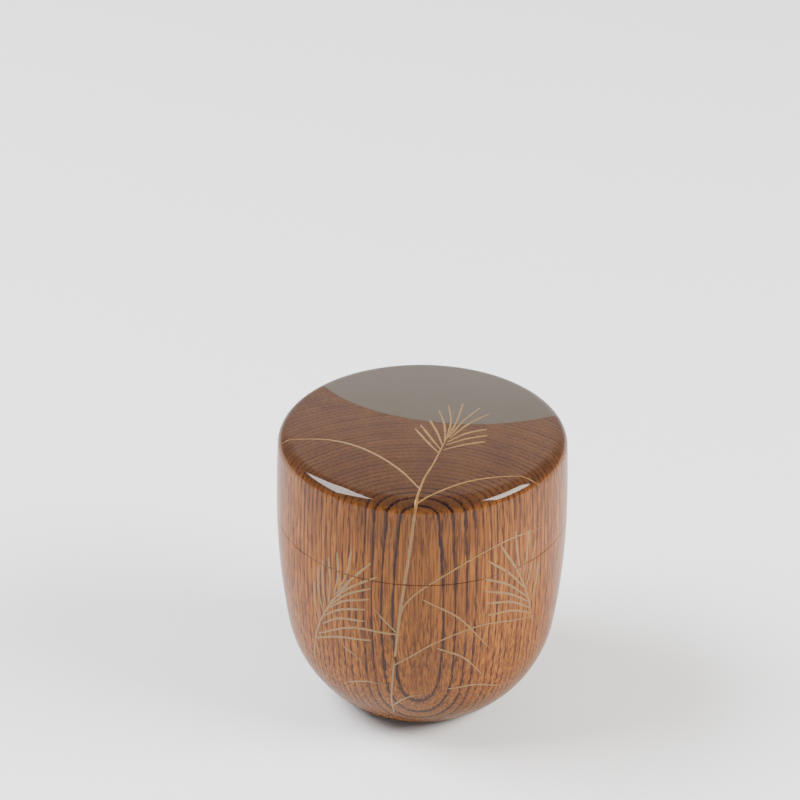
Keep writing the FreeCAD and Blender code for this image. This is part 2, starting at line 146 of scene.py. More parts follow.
def corner(before, at, after, radius, count=6):
    """A right-angled corner rounded with a small arc."""
    start = at + (before - at).normalized() * radius
    end = at + (after - at).normalized() * radius
    centre = start + (after - at).normalized() * radius
    return arc(centre, start, end, radius * (math.pi / 2) / count)


def bend(start, control, end, count=6):
    """A small rounded edge: a curve from start to end, pulled to a control point."""
    shares = [k / count for k in range(count + 1)]
    return [start * (1 - t) ** 2 + control * 2 * t * (1 - t) + end * t ** 2 for t in shares]


foot_point = Vector((FOOT_RADIUS, 0))
belly_centre = Vector((MAX_RADIUS - BELLY_ARC, SEAM))
base_centre = crossing(foot_point, BASE_ARC, belly_centre, BELLY_ARC - BASE_ARC)
belly_start = touch(belly_centre, BELLY_ARC, base_centre)
seam_point = Vector((MAX_RADIUS, SEAM))
side_centre = Vector((MAX_RADIUS - SIDE_ARC, SEAM))
dome_centre = Vector((0, TOP - DOME_ARC))
shoulder_centre = crossing(side_centre, SIDE_ARC - SHOULDER_ARC, dome_centre, DOME_ARC - SHOULDER_ARC)
side_end = touch(side_centre, SIDE_ARC, shoulder_centre)
dome_start = touch(dome_centre, DOME_ARC, shoulder_centre)
apex = Vector((0, TOP))

body_outline = join(
    arc(base_centre, foot_point, belly_start, BASE_STEP),
    arc(belly_centre, belly_start, seam_point, LONG_STEP),
)
lid_outline = join(
    arc(side_centre, seam_point, side_end, LONG_STEP),
    arc(shoulder_centre, side_end, dome_start, SHARP_STEP),
    arc(dome_centre, dome_start, apex, LONG_STEP),
)
outline = join(body_outline, lid_outline)


class Surface:
    """The caddy's outside as a curve by length, for laying the decoration on it."""

    def __init__(self, points):
        self.points = np.array([(p.x, p.y) for p in points])
        steps = np.linalg.norm(np.diff(self.points, axis=0), axis=1)
        self.length = np.concatenate([[0], np.cumsum(steps)])
        tangent = np.gradient(self.points, self.length, axis=0)
        tangent /= np.linalg.norm(tangent, axis=1)[:, None]
        self.normals = np.stack([tangent[:, 1], -tangent[:, 0]], axis=1)

    def nearest(self, radius, height):
        """The length along the curve nearest to a point."""
        best = ((self.points - (radius, height)) ** 2).sum(axis=1).argmin()
        found, gap = self.length[best], math.inf
        for k in (best - 1, best):
            if 0 <= k < len(self.points) - 1:
                a, b = self.points[k], self.points[k + 1]
                share = np.clip(np.dot((radius, height) - a, b - a) / np.dot(b - a, b - a), 0, 1)
                off = np.linalg.norm(a + share * (b - a) - (radius, height))
                if off < gap:
                    gap = off
                    found = self.length[k] + share * (self.length[k + 1] - self.length[k])
        return found

    def at(self, length):
        """(point, normal) in the half plane at a length along the curve."""
        point = [np.interp(length, self.length, self.points[:, k]) for k in (0, 1)]
        normal = [np.interp(length, self.length, self.normals[:, k]) for k in (0, 1)]
        return Vector(point), Vector(normal).normalized()

    def place(self, length, azimuth):
        """(point, normal) in space. Azimuth 0 is the front, -Y, and 90 degrees is +X."""
        flat, normal = self.at(length)
        around = Vector((math.sin(azimuth), -math.cos(azimuth), 0))
        up = Vector((0, 0, 1))
        return around * flat.x + up * flat.y, (around * normal.x + up * normal.y).normalized()

    def lay(self, point):
        """(point, normal, length) of the place on the surface nearest to a point in space."""
        length = self.nearest(math.hypot(point.x, point.y), point.z)
        spot, normal = self.place(length, math.atan2(point.x, -point.y))
        return spot, normal, length


surface = Surface(outline)
SEAM_LENGTH = surface.nearest(MAX_RADIUS, SEAM)


# ---------------------------------------------------------------- meshes
def make_piece(name, vertices, faces, material, body, slot, *stands_for, sharp=35):
    """A piece of the visual model. Edges of more than sharp degrees are shaded sharp."""
    mesh = bpy.data.meshes.new(name)
    mesh.from_pydata([tuple(v) for v in vertices], [], faces)
    mesh.validate()
    mesh.shade_smooth()
    mesh.set_sharp_from_angle(angle=math.radians(sharp))
    mesh.materials.append(material)
    piece = bpy.data.objects.new(name, mesh)
    bpy.context.scene.collection.objects.link(piece)
    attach(piece, body)
    if stands_for:
        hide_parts(*stands_for)
    return piece


def tidy_mesh(piece):
    """Merge points that fall together, and turn every face outwards."""
    work = bmesh.new()
    work.from_mesh(piece.data)
    bmesh.ops.remove_doubles(work, verts=work.verts, dist=MERGE_DISTANCE)
    bmesh.ops.dissolve_degenerate(work, edges=work.edges, dist=TINY)
    bmesh.ops.recalc_face_normals(work, faces=work.faces)
    work.to_mesh(piece.data)
    work.free()


def lathe(name, profile, material, body, slot, *stands_for):
    """A closed solid of revolution. The profile starts and ends on the axis, inside to its left."""
    vertices, faces, rings = [], [], []
    for point in profile:
        if point.x < TINY:
            rings.append([len(vertices)])
            vertices.append((0, 0, point.y))
            continue
        rings.append(list(range(len(vertices), len(vertices) + TURNS)))
        for k in range(TURNS):
            angle = 2 * math.pi * k / TURNS
            vertices.append((point.x * math.sin(angle), -point.x * math.cos(angle), point.y))
    for low, high in zip(rings, rings[1:]):
        for k in range(TURNS):
            after = (k + 1) % TURNS
            if len(low) == 1:
                faces.append((low[0], high[after], high[k]))
            elif len(high) == 1:
                faces.append((low[k], low[after], high[0]))
            else:
                faces.append((low[k], low[after], high[after], high[k]))
    return make_piece(name, vertices, faces, material, body, slot, *stands_for)


def cut_low(points, height):
    """The part of an outline from this height up, starting exactly at it."""
    for k, (a, b) in enumerate(zip(points, points[1:])):
        if a.y < height <= b.y:
            start = a.lerp(b, (height - a.y) / (b.y - a.y))
            return [start] + points[k + 1:]
    return points


def cut_high(points, height):
    """The part of an outline up to this height, ending exactly at it."""
    for k, (a, b) in enumerate(zip(points, points[1:])):
        if a.y <= height < b.y:
            return points[:k + 1] + [a.lerp(b, (height - a.y) / (b.y - a.y))]
    return points


def body_shell_profile():
    rim = RIM_RADIUS - COAT
    rim_top = RIM_TOP - COAT
    rim_round = RIM_ROUND - COAT
    cavity = CAVITY_RADIUS + COAT
    floor = FLOOR - COAT
    arc_radius = CAVITY_ARC + COAT
    arc_centre = Vector((cavity - arc_radius, floor + arc_radius))
    recess_low = Vector((RECESS_RADIUS, 0))
    recess_high = Vector((RECESS_RADIUS, RECESS_DEPTH))
    foot_start = Vector((FOOT_RADIUS - FOOT_ROUND, 0))
    foot_edge = Vector((FOOT_RADIUS + 0.2 * FOOT_ROUND, 0))
    side = cut_high(cut_low(body_outline, FOOT_ROUND * 0.6), SEAM - LIP)
    ledge = Vector((MAX_RADIUS - LIP, SEAM))
    rim_foot = Vector((rim, SEAM))
    rim_corner = Vector((rim, rim_top))
    mouth_corner = Vector((cavity, rim_top))
    wall_end = Vector((cavity, arc_centre.y))
    floor_start = Vector((arc_centre.x, floor))
    return join(
        line(Vector((0, RECESS_DEPTH)), recess_high),
        corner(recess_high, recess_low, foot_start, RECESS_ROUND),
        line(Vector((RECESS_RADIUS + RECESS_ROUND, 0)), foot_start),
        bend(foot_start, foot_edge, side[0]),
        side,
        bend(side[-1], seam_point, ledge),
        line(ledge, rim_foot),
        line(rim_foot, Vector((rim, rim_top - rim_round))),
        corner(rim_foot, rim_corner, mouth_corner, rim_round),
        corner(rim_corner, mouth_corner, wall_end, rim_round),
        line(Vector((cavity, rim_top - rim_round)), wall_end),
        arc(arc_centre, wall_end, floor_start, CAVITY_STEP),
        line(floor_start, Vector((0, floor))),
    )


def body_lining_profile():
    rim = RIM_RADIUS - COAT
    back_top = RIM_TOP - COAT
    back_wall = CAVITY_RADIUS + COAT
    centre = Vector((CAVITY_RADIUS - CAVITY_ARC, FLOOR + CAVITY_ARC))
    outer_corner = Vector((RIM_RADIUS, RIM_TOP))
    mouth_corner = Vector((CAVITY_RADIUS, RIM_TOP))
    wall_end = Vector((CAVITY_RADIUS, centre.y))
    floor_start = Vector((centre.x, FLOOR))
    back_floor = Vector((centre.x, FLOOR - COAT))
    back_wall_end = Vector((back_wall, centre.y))
    back_mouth = Vector((back_wall, back_top))
    back_outer = Vector((rim, back_top))
    edge = Vector((RIM_RADIUS, SEAM))
    back_edge = Vector((rim, SEAM))
    inner_round = RIM_ROUND - COAT
    return join(
        line(Vector((0, FLOOR - COAT)), back_floor),
        arc(centre, back_floor, back_wall_end, CAVITY_STEP),
        line(back_wall_end, Vector((back_wall, back_top - inner_round))),
        corner(back_wall_end, back_mouth, back_outer, inner_round),
        corner(back_mouth, back_outer, back_edge, inner_round),
        line(Vector((rim, back_top - inner_round)), back_edge),
        line(back_edge, edge),
        line(edge, Vector((RIM_RADIUS, RIM_TOP - RIM_ROUND))),
        corner(edge, outer_corner, mouth_corner, RIM_ROUND),
        corner(outer_corner, mouth_corner, wall_end, RIM_ROUND),
        line(Vector((CAVITY_RADIUS, RIM_TOP - RIM_ROUND)), wall_end),
        arc(centre, wall_end, floor_start, CAVITY_STEP),
        line(floor_start, Vector((0, FLOOR))),
    )


def lid_shell_profile():
    arc_radius = CEILING_ARC + COAT
    centre = Vector((LID_WALL - arc_radius, CEILING - arc_radius))
    ceiling_end = Vector((centre.x, CEILING))
    wall_start = Vector((LID_WALL, centre.y))
    inner_edge = Vector((LID_WALL, SEAM))
    edge = Vector((MAX_RADIUS - LIP, SEAM))
    outside = cut_low(lid_outline, SEAM + LIP)
    return join(
        line(Vector((0, CEILING)), ceiling_end),
        arc(centre, ceiling_end, wall_start, INSIDE_LID_STEP),
        line(wall_start, inner_edge),
        line(inner_edge, edge),
        bend(edge, seam_point, outside[0]),
        outside,
    )


def lid_lining_profile():
    wall = LID_WALL - COAT
    ceiling = CEILING - COAT
    centre = Vector((wall - CEILING_ARC, ceiling - CEILING_ARC))
    ceiling_end = Vector((centre.x, ceiling))
    wall_start = Vector((wall, centre.y))
    wall_end = Vector((wall, SEAM))
    back_wall_end = Vector((LID_WALL, SEAM))
    back_wall_start = Vector((LID_WALL, centre.y))
    back_ceiling_end = Vector((centre.x, CEILING))
    return join(
        line(Vector((0, ceiling)), ceiling_end),
        arc(centre, ceiling_end, wall_start, INSIDE_LID_STEP),
        line(wall_start, wall_end),
        line(wall_end, back_wall_end),
        line(back_wall_end, back_wall_start),
        arc(centre, back_wall_start, back_ceiling_end, INSIDE_LID_STEP),
        line(back_ceiling_end, Vector((0, CEILING))),
    )


# ---------------------------------------------------------------- materials
class Shader:
    """A material's node tree, written as a formula."""

    def __init__(self, name):
        self.material = bpy.data.materials.new(name)
        self.material.use_nodes = True
        self.tree = self.material.node_tree
        self.surface = self.tree.nodes["Principled BSDF"]
        self.object_space = self.make("ShaderNodeTexCoord").outputs["Object"]

    def make(self, kind, **settings):
        node = self.tree.nodes.new(kind)
        for key, value in settings.items():
            setattr(node, key, value)
        return node

    def millimetres(self):
        """The place on the piece, in millimetres."""
        return self.scaled(self.object_space, 1 / MM)

    def put(self, socket, value):
        if isinstance(value, bpy.types.NodeSocket):
            self.tree.links.new(value, socket)
        else:
            socket.default_value = value

    def finish(self, **values):
        """Set the principled shader's sockets by name, with _ for a space."""
        for name, value in values.items():
            self.put(self.surface.inputs[name.replace("_", " ")], value)

    def math(self, operation, *values):
        node = self.make("ShaderNodeMath", operation=operation)
        for socket, value in zip(node.inputs, values):
            self.put(socket, value)
        return node.outputs[0]

    def vector(self, operation, *values):
        node = self.make("ShaderNodeVectorMath", operation=operation)
        for socket, value in zip(node.inputs, values):
            self.put(socket, value)
        return node.outputs[0]

    def linear(self, value, factor, start):
        """value * factor + start."""
        return self.math("MULTIPLY_ADD", value, factor, start)

    def sway(self, noise, size, middle=0.0):
        """A noise from 0 to 1 turned into a value that sways by size about a middle value."""
        return self.linear(noise, size, middle - size / 2)

    def scaled(self, vector, factor):
        node = self.make("ShaderNodeVectorMath", operation="SCALE")
        self.put(node.inputs[0], vector)
        self.put(node.inputs["Scale"], factor)
        return node.outputs[0]

    def split(self, vector):
        node = self.make("ShaderNodeSeparateXYZ")
        self.put(node.inputs[0], vector)
        return node.outputs

    def combine(self, x, y, z):
        node = self.make("ShaderNodeCombineXYZ")
        for socket, value in zip(node.inputs, (x, y, z)):
            self.put(socket, value)
        return node.outputs[0]

    def noise(self, vector, scale=1.0, detail=2.0, roughness=0.5, output=0):
        node = self.make("ShaderNodeTexNoise")
        self.put(node.inputs["Vector"], vector)
        self.put(node.inputs["Scale"], scale)
        self.put(node.inputs["Detail"], detail)
        self.put(node.inputs["Roughness"], roughness)
        return node.outputs[output]

    def chance(self, number):
        """A random number from 0 to 1 for each whole number."""
        node = self.make("ShaderNodeTexWhiteNoise", noise_dimensions="1D")
        self.put(node.inputs["W"], number)
        return node.outputs[0]

    def curve(self, value, stops):
        """A value read off straight lines between (position, value) stops."""
        node = self.make("ShaderNodeValToRGB")
        elements = node.color_ramp.elements
        while len(elements) < len(stops):
            elements.new(0.5)
        for element, (position, level) in zip(elements, stops):
            element.position = position
            element.color = (level, level, level, 1)
        self.put(node.inputs[0], value)
        return node.outputs[0]

    def step(self, value, low, high):
        """0 at low and beyond, 1 at high and beyond, and smooth in between. Low may be the larger."""
        node = self.make("ShaderNodeMapRange", interpolation_type="SMOOTHSTEP")
        self.put(node.inputs["Value"], value)
        self.put(node.inputs["From Min"], low)
        self.put(node.inputs["From Max"], high)
        return node.outputs[0]

    def mix(self, share, a, b, blend="MIX"):
        node = self.make("ShaderNodeMix", data_type="RGBA", blend_type=blend)
        self.put(node.inputs[0], share)
        self.put(node.inputs[6], a)
        self.put(node.inputs[7], b)
        return node.outputs[2]

    def bump(self, height, strength, distance):
        node = self.make("ShaderNodeBump")
        self.put(node.inputs["Strength"], strength)
        self.put(node.inputs["Distance"], distance)
        self.put(node.inputs["Height"], height)
        return node.outputs[0]


class WoodShader(Shader):
    """A shader for wood whose grain runs upright, with places in millimetres."""

    def __init__(self, name):
        super().__init__(name)
        self.x, self.y, self.z = self.split(self.millimetres())

    def grain_place(self, across, along):
        """Texture coordinates with this many features to the millimetre across and along the grain."""
        return self.combine(self.math("MULTIPLY", self.x, across), self.math("MULTIPLY", self.y, across),
                            self.math("MULTIPLY", self.z, along))

    def grain_noise(self, across, along, **settings):
        return self.noise(self.grain_place(across, along), **settings)


# The tree's heart: a line that runs upright in front of the caddy, in millimetres.
HEART_ACROSS = -0.9
HEART_AHEAD = 42.85              # how far in front of the caddy's axis it is at HEART_HEIGHT
HEART_HEIGHT = 45.0
HEART_LEAN = 0.035               # how fast it moves ahead going up, and how that lessens
HEART_BOW = -0.0009
RING_WIDTH_SCALE = 0.93          # under 1, so a ring is a little wider than it is deep
WAVE_SIZE = 1.1                  # how far slow waves along the trunk push the rings

# A ring's number is distance * RINGS_PER_MM + HEART_SPREAD / distance + FIRST_RING, so the
# rings are wide near the heart and even from about 17 mm out.
RINGS_PER_MM = 0.781
HEART_SPREAD = 50.5
FIRST_RING = -13.05
INNER_SHIFT = -0.30              # moves the rings nearest to the heart outwards
FEATHER_START = (-0.465, -0.44)  # the ring numbers over which the feathered marks fade in and out
FEATHER_END = (-0.395, -0.42)
TONE_NUMBERS = 40.0              # gives the years' colours other random numbers than their lines

# how dark a ring is through its year, as (share of the year, darkness)
RING_YEAR = [(0.0, 0.4), (0.03, 1.0), (0.19, 1.0), (0.27, 0.42), (0.45, 0.12), (0.9, 0.02), (1.0, 0.02)]
# how many pores there are through the year, as (share of the year, share of the most)
PORE_YEAR = [(0.0, 0.8), (0.1, 1.0), (0.4, 0.55), (0.8, 0.35), (1.0, 0.6)]

WOOD_PALE = (0.315, 0.107, 0.0150, 1)
WOOD_DEEP = (0.220, 0.070, 0.0110, 1)
STREAK_BROWN = (0.120, 0.036, 0.009, 1)
FIBRE_BROWN = (0.085, 0.026, 0.008, 1)
PORE_BROWN = (0.036, 0.011, 0.006, 1)
FEATHER_BROWN = (0.070, 0.022, 0.008, 1)
RING_BROWN = (0.030, 0.010, 0.006, 1)

# tints that the wood's colour is multiplied by: painted shade on the front's middle round the heart, up the
# lid and on faces that look down, and a darker, greyer cast on upward end grain that is partly the wood's
# own tone and partly painted shade and reflection
# darker and browner round the heart, which is the front's middle: partly the heartwood's own browner tone,
# partly painted shade where the side lamps light the front less
HEART_TONE_AND_FRONT_SHADE_TINT = (0.80, 0.84, 0.95, 1)
# painted shade: darker up the lid towards its shoulder and top
SHOULDER_PAINTED_SHADE_TINT = (0.76, 0.78, 0.95, 1)
# painted shade on faces that look down, under the belly and foot
UNDERSIDE_PAINTED_SHADE_TINT = (0.72, 0.80, 0.95, 1)
# darker and greyer where the grain's ends face up: partly end grain's own darker tone, partly painted
# shade, and the greyer cast is a painted stand-in for the dull reflection on the top and shoulder
END_GRAIN_TONE_AND_TOP_SHADE_TINT = (0.29, 0.36, 0.80, 1)


def wood_material():
    """Zelkova under clear lacquer, flat-sawn so that the heart runs just in front of the caddy.

    The rings are cylinders round the heart, so they show as tall nested ovals on the front,
    upright lines on the sides and arcs on the lid.
    """
    wood = WoodShader("zelkova_lacquered")
    reach = heart_distance(wood)
    near_heart = wood.step(reach, 24.0, 12.0)
    facing_up = wood.split(wood.make("ShaderNodeNewGeometry").outputs["Normal"])[2]
    # where the grain's ends face up; the same mask also places the painted shade on the top
    end_grain_and_top_shade = wood.step(facing_up, 0.02, 0.75)

    rings, feathers = growth_rings(wood, reach)
    year = wood.math("FLOOR", rings)
    season = wood.math("FRACT", rings)

    # long thin vessels, fine fibres and broad streaks, all along the trunk
    pore_size = wood.math("MULTIPLY", wood.curve(season, PORE_YEAR), 0.46)
    vessels = pores(wood, wood.grain_place(2.5, 0.16), pore_size)
    fibres = wood.step(wood.grain_noise(3.0, 0.10), 0.42, 0.60)
    streaks = wood.step(wood.grain_noise(1.3, 0.09, roughness=0.6), 0.44, 0.64)

    lines = ring_lines(wood, reach, near_heart, year, season)
    unbroken = wood.linear(end_grain_and_top_shade, 0.20, wood.linear(near_heart, 0.28, 0.50))
    marks = wood.math("MAXIMUM", streaks, wood.math("MAXIMUM", vessels, fibres))
    lines = wood.math("MULTIPLY", lines, wood.linear(marks, 0.6, unbroken))
    lines = wood.math("MULTIPLY", lines, wood.linear(end_grain_and_top_shade, -0.35, 1.0))

    # on end grain the vessels and fibres are seen from their ends, and hardly show
    side_grain = wood.linear(end_grain_and_top_shade, -0.70, 1.0)
    fibres = wood.math("MULTIPLY", fibres, side_grain)
    vessels = wood.math("MULTIPLY", vessels, side_grain)

    colour = ground_colour(wood, year)
    for mark, strength, paint in (
            (streaks, 0.35, STREAK_BROWN),
            (fibres, 0.72, FIBRE_BROWN),
            (vessels, 0.85, PORE_BROWN),
            (feathers, 0.50, FEATHER_BROWN)):
        colour = wood.mix(wood.math("MULTIPLY", mark, strength), colour, paint)
    colour = wood.mix(wood.math("MINIMUM", lines, 0.95), colour, RING_BROWN)
    # painted shade: each tint darkens a part of the wood where less light falls; the heart and end grain
    # tints also carry the wood's own tone
    for where, tint in (
            (wood.step(reach, 22.0, 10.0), HEART_TONE_AND_FRONT_SHADE_TINT),
            (wood.step(wood.z, 50.0, 66.0), SHOULDER_PAINTED_SHADE_TINT),
            (wood.step(facing_up, -0.10, -0.75), UNDERSIDE_PAINTED_SHADE_TINT),
            (end_grain_and_top_shade, END_GRAIN_TONE_AND_TOP_SHADE_TINT)):
        colour = wood.mix(where, colour, tint, blend="MULTIPLY")

    relief = wood.math("MULTIPLY", wood.math("ADD", vessels, fibres), -0.5)
    wood.finish(Base_Color=colour, Roughness=0.5, Specular_IOR_Level=0.0,
                Normal=wood.bump(relief, strength=0.3, distance=0.02 * MM),
                Coat_Weight=0.42, Coat_Roughness=0.06, Coat_IOR=1.5,
                Coat_Normal=wood.bump(relief, strength=0.2, distance=0.02 * MM))
    return wood.material


def heart_distance(wood):
    """How far a point of the wood is from the tree's heart, in millimetres."""
    height = wood.math("SUBTRACT", wood.z, HEART_HEIGHT)
    heart_ahead = wood.linear(height, wood.linear(height, HEART_BOW, HEART_LEAN), HEART_AHEAD)
    wave = wood.grain_noise(0.07, 0.025, output=1)
    wave_x, wave_y, _ = wood.split(wood.vector("SUBTRACT", wave, (0.5, 0.5, 0.5)))
    across = wood.math("MULTIPLY", wood.math("SUBTRACT", wood.x, HEART_ACROSS), RING_WIDTH_SCALE)
    across = wood.linear(wave_x, WAVE_SIZE, across)
    ahead = wood.linear(wave_y, WAVE_SIZE, wood.math("ADD", wood.y, heart_ahead))
    squares = wood.math("ADD", wood.math("MULTIPLY", across, across), wood.math("MULTIPLY", ahead, ahead))
    return wood.math("SQRT", squares)


def growth_rings(wood, reach):
    """(ring number whose fraction is the share of the year, faint feathered marks inside them all)."""
    even = wood.linear(reach, RINGS_PER_MM, wood.math("DIVIDE", HEART_SPREAD, reach))

    feather = wood.sway(wood.grain_noise(2.2, 0.30), 0.16, FIRST_RING + INNER_SHIFT)
    inner = wood.math("ADD", even, feather)
    feathers = wood.math("MULTIPLY", wood.step(inner, *FEATHER_START), wood.step(inner, *FEATHER_END))

    ragged = wood.sway(wood.grain_noise(2.6, 0.22, roughness=0.6), 0.24, FIRST_RING)
    rings = wood.math("ADD", even, ragged)
    rings = wood.linear(wood.step(reach, 12.8, 11.0), INNER_SHIFT, rings)
    fibrous = wood.sway(wood.grain_noise(3.0, 0.22, detail=1.0), 0.18)
    return wood.math("ADD", rings, fibrous), feathers


def ring_lines(wood, reach, near_heart, year, season):
    """How dark the rings' lines are: strong near the heart, and different from year to year."""
    narrowing = wood.linear(wood.step(reach, 15.5, 11.0), 0.6, 1.0)
    lines = wood.curve(wood.math("MULTIPLY", season, narrowing), RING_YEAR)
    strength = wood.linear(wood.chance(year), 0.45, 0.38)
    return wood.math("MULTIPLY", lines, wood.math("MAXIMUM", strength, near_heart))


def ground_colour(wood, year):
    """The wood between its marks, which drifts in patches and a little from year to year."""
    drift = wood.step(wood.grain_noise(0.10, 0.02, detail=3.0, roughness=0.6), 0.35, 0.68)
    year_tone = wood.math("MULTIPLY", wood.chance(wood.math("ADD", year, TONE_NUMBERS)), 0.5)
    tone = wood.math("MINIMUM", wood.linear(drift, 0.6, year_tone), 1.0)
    return wood.mix(tone, WOOD_PALE, WOOD_DEEP)


def pores(shader, place, size):
    """1 inside a long pore and 0 outside, with up to one pore in each cell."""
    cells = shader.make("ShaderNodeTexVoronoi")
    shader.put(cells.inputs["Vector"], place)
    shader.put(cells.inputs["Scale"], 1.0)
    inside = shader.math("SUBTRACT", size, cells.outputs["Distance"])
    return shader.step(inside, -0.04, 0.06)


def black_lacquer_material():
    """Black lacquer: a deep gloss over slow clouds and a few dull specks."""
    shader = Shader("black_lacquer")
    place = shader.millimetres()
    cloud = shader.noise(place, scale=0.12, detail=4.0, roughness=0.6)
    speck = shader.step(shader.noise(place, scale=2.6, detail=1.0), 0.66, 0.74)
    colour = shader.mix(cloud, (0.006, 0.005, 0.005, 1), (0.020, 0.013, 0.011, 1))
    roughness = shader.linear(cloud, 0.12, shader.linear(speck, 0.12, 0.10))
    ripple = shader.bump(shader.noise(place, scale=0.35, detail=3.0), strength=0.12, distance=0.05 * MM)
    shader.finish(Base_Color=colour, Roughness=roughness, Normal=ripple,
                  Coat_Weight=1.0, Coat_Roughness=0.05, Coat_IOR=1.53)
    return shader.material


def gold_material():
    """Gold dust sifted on wet lacquer: a soft straw colour, with grains and worn patches."""
    shader = Shader("gold_dust")
    place = shader.millimetres()
    grain = shader.noise(place, scale=9.0, roughness=0.7)
    patch = shader.noise(place, scale=0.7, roughness=0.6)
    grains = shader.step(grain, 0.35, 0.65)
    colour = shader.mix(grains, (0.100, 0.051, 0.010, 1), (0.270, 0.144, 0.028, 1))
    colour = shader.mix(shader.math("MULTIPLY", patch, 0.5), colour, (0.12, 0.062, 0.015, 1))
    shader.finish(Base_Color=colour, Metallic=0.25, Roughness=shader.linear(grain, 0.25, 0.32),
                  Normal=shader.bump(grain, strength=0.4, distance=0.02 * MM),
                  Coat_Weight=0.25, Coat_Roughness=0.2)
    return shader.material


def silver_material():
    """Silver dust polished under lacquer: smooth dull grey with a gloss over it."""
    shader = Shader("silver_dust")
    place = shader.millimetres()
    grain = shader.noise(place, scale=7.0, roughness=0.6)
    cloud = shader.noise(place, scale=0.09, detail=3.0, roughness=0.6)
    colour = shader.mix(cloud, (0.056, 0.043, 0.031, 1), (0.068, 0.054, 0.040, 1))
    colour = shader.mix(shader.step(grain, 0.45, 0.7), colour, (0.080, 0.064, 0.048, 1))
    shader.finish(Base_Color=colour, Metallic=0.5, Roughness=shader.linear(grain, 0.15, 0.38),
                  Specular_IOR_Level=0.0, Coat_Weight=0.5, Coat_Roughness=0.06, Coat_IOR=1.5)
    return shader.material


def floor_material():
    shader = Shader("pale_floor")
    cloud = shader.noise(shader.object_space, scale=3.0, detail=3.0)
    colour = shader.mix(cloud, (0.76, 0.77, 0.79, 1), (0.79, 0.80, 0.82, 1))
    shader.finish(Base_Color=colour, Roughness=0.6)
    return shader.material


# ---------------------------------------------------------------- decoration
STROKE_RISE = 0.055 * MM         # how far a stroke's middle stands over the wood
STROKE_SINK = 0.05 * MM          # how far its underside lies in the wood
STROKE_STEP = 0.22 * MM          # from one section of a stroke to the next
SEAM_CLEAR = 0.10 * MM           # how far strokes and moon keep from the seam, along the outline
DECORATION_SHARP = 60            # in degrees

# Each stroke's points, in millimetres. "front" points are (x, z) seen from the front and
# "plan" points are (x, y) seen from above. Only the main stem goes from the one to the other.
STEM_FRONT = [(-5.95, 28.2), (-5.5, 34.0), (-4.6, 43.0), (-3.2, 54.0), (-1.95, 65.0)]
STEM_PLAN = [(-0.9, -27.5), (0.3, -22.5), (2.4, -16.5), (4.7, -8.4)]
LOWER_STEM = [(-6.4, 8.2), (-6.8, 15.0), (-6.5, 21.0), (-6.15, 26.8)]
BLADES_FRONT = [
    [(-5.2, 38.0), (-3.6, 43.2), (1.5, 48.3), (11.2, 54.0), (19.5, 56.2), (27.0, 54.8)],
    [(-6.3, 25.5), (-3.8, 27.6), (3.9, 33.0), (14.0, 35.6), (25.2, 32.0)],
    [(0.0, 44.4), (8.0, 38.8), (14.9, 28.8)],
    [(3.3, 31.0), (9.2, 27.4), (14.0, 20.5)],
    [(-5.8, 35.2), (-8.7, 38.4), (-11.0, 41.2)],
    [(-16.8, 17.0), (-12.4, 19.2), (-7.5, 19.3)],
    [(-6.6, 12.0), (-3.5, 15.7), (0.5, 17.2)],
    [(-17.5, 27.8), (-15.2, 26.4), (-13.2, 24.7)],
    [(6.0, 18.6), (12.5, 18.3), (18.5, 14.8)],
]
BLADES_PLAN = [
    [(-0.8, -26.5), (-5.6, -18.6), (-12.8, -10.8), (-21.0, -6.2), (-31.5, -5.0)],
    [(-1.7, -31.4), (8.0, -24.5), (16.0, -21.5), (25.6, -20.0)],
]
PLUME_STEMS_FRONT = [
    [(-24.3, 20.5), (-23.4, 29.0), (-20.5, 38.0), (-16.0, 46.0)],
    [(24.8, 30.5), (23.4, 39.0), (20.6, 48.0), (17.8, 53.6)],
]
RIBS_FRONT = [
    [(-23.9, 26.2), (-18.5, 30.0), (-11.4, 31.8)],
    [(-23.3, 28.0), (-15.5, 34.0), (-4.7, 34.6)],
    [(-22.3, 31.5), (-18.5, 35.3), (-12.7, 36.8)],
    [(-22.0, 34.0), (-18.0, 38.0), (-12.6, 40.0)],
    [(-21.2, 36.5), (-17.3, 40.6), (-11.7, 43.0)],
    [(-20.5, 38.0), (-16.5, 42.8), (-11.3, 46.0)],
    [(-20.2, 39.3), (-15.7, 45.0), (-10.0, 49.2)],
    [(-19.6, 41.0), (-15.6, 47.0), (-11.3, 52.5)],
    [(-18.5, 43.0), (-16.5, 48.5), (-15.5, 54.6)],
    [(-19.4, 41.6), (-18.5, 47.2), (-18.7, 52.9)],
    [(-20.6, 38.5), (-20.3, 45.0), (-20.6, 50.6)],
    [(-21.3, 36.8), (-22.0, 43.5), (-21.9, 49.4)],
    [(-21.9, 34.5), (-23.0, 41.0), (-22.8, 47.4)],
    [(-22.8, 31.8), (-23.8, 37.0), (-23.9, 42.5)],
    [(24.3, 33.5), (20.0, 36.9), (14.4, 38.1)],
    [(24.2, 35.0), (19.8, 39.4), (14.1, 41.4)],
    [(23.8, 37.0), (19.2, 41.9), (13.7, 44.7)],
    [(23.5, 38.5), (18.9, 44.5), (13.5, 48.0)],
    [(23.0, 41.0), (18.9, 47.6), (14.2, 52.4)],
    [(22.3, 43.5), (19.8, 49.6), (17.0, 55.4)],
    [(21.8, 45.0), (20.9, 51.0), (20.2, 57.8)],
    [(22.2, 43.8), (22.9, 50.0), (23.3, 56.6)],
    [(22.9, 41.0), (24.1, 47.0), (24.9, 53.0)],
    [(24.0, 36.0), (25.3, 41.8), (25.6, 47.0)],
]
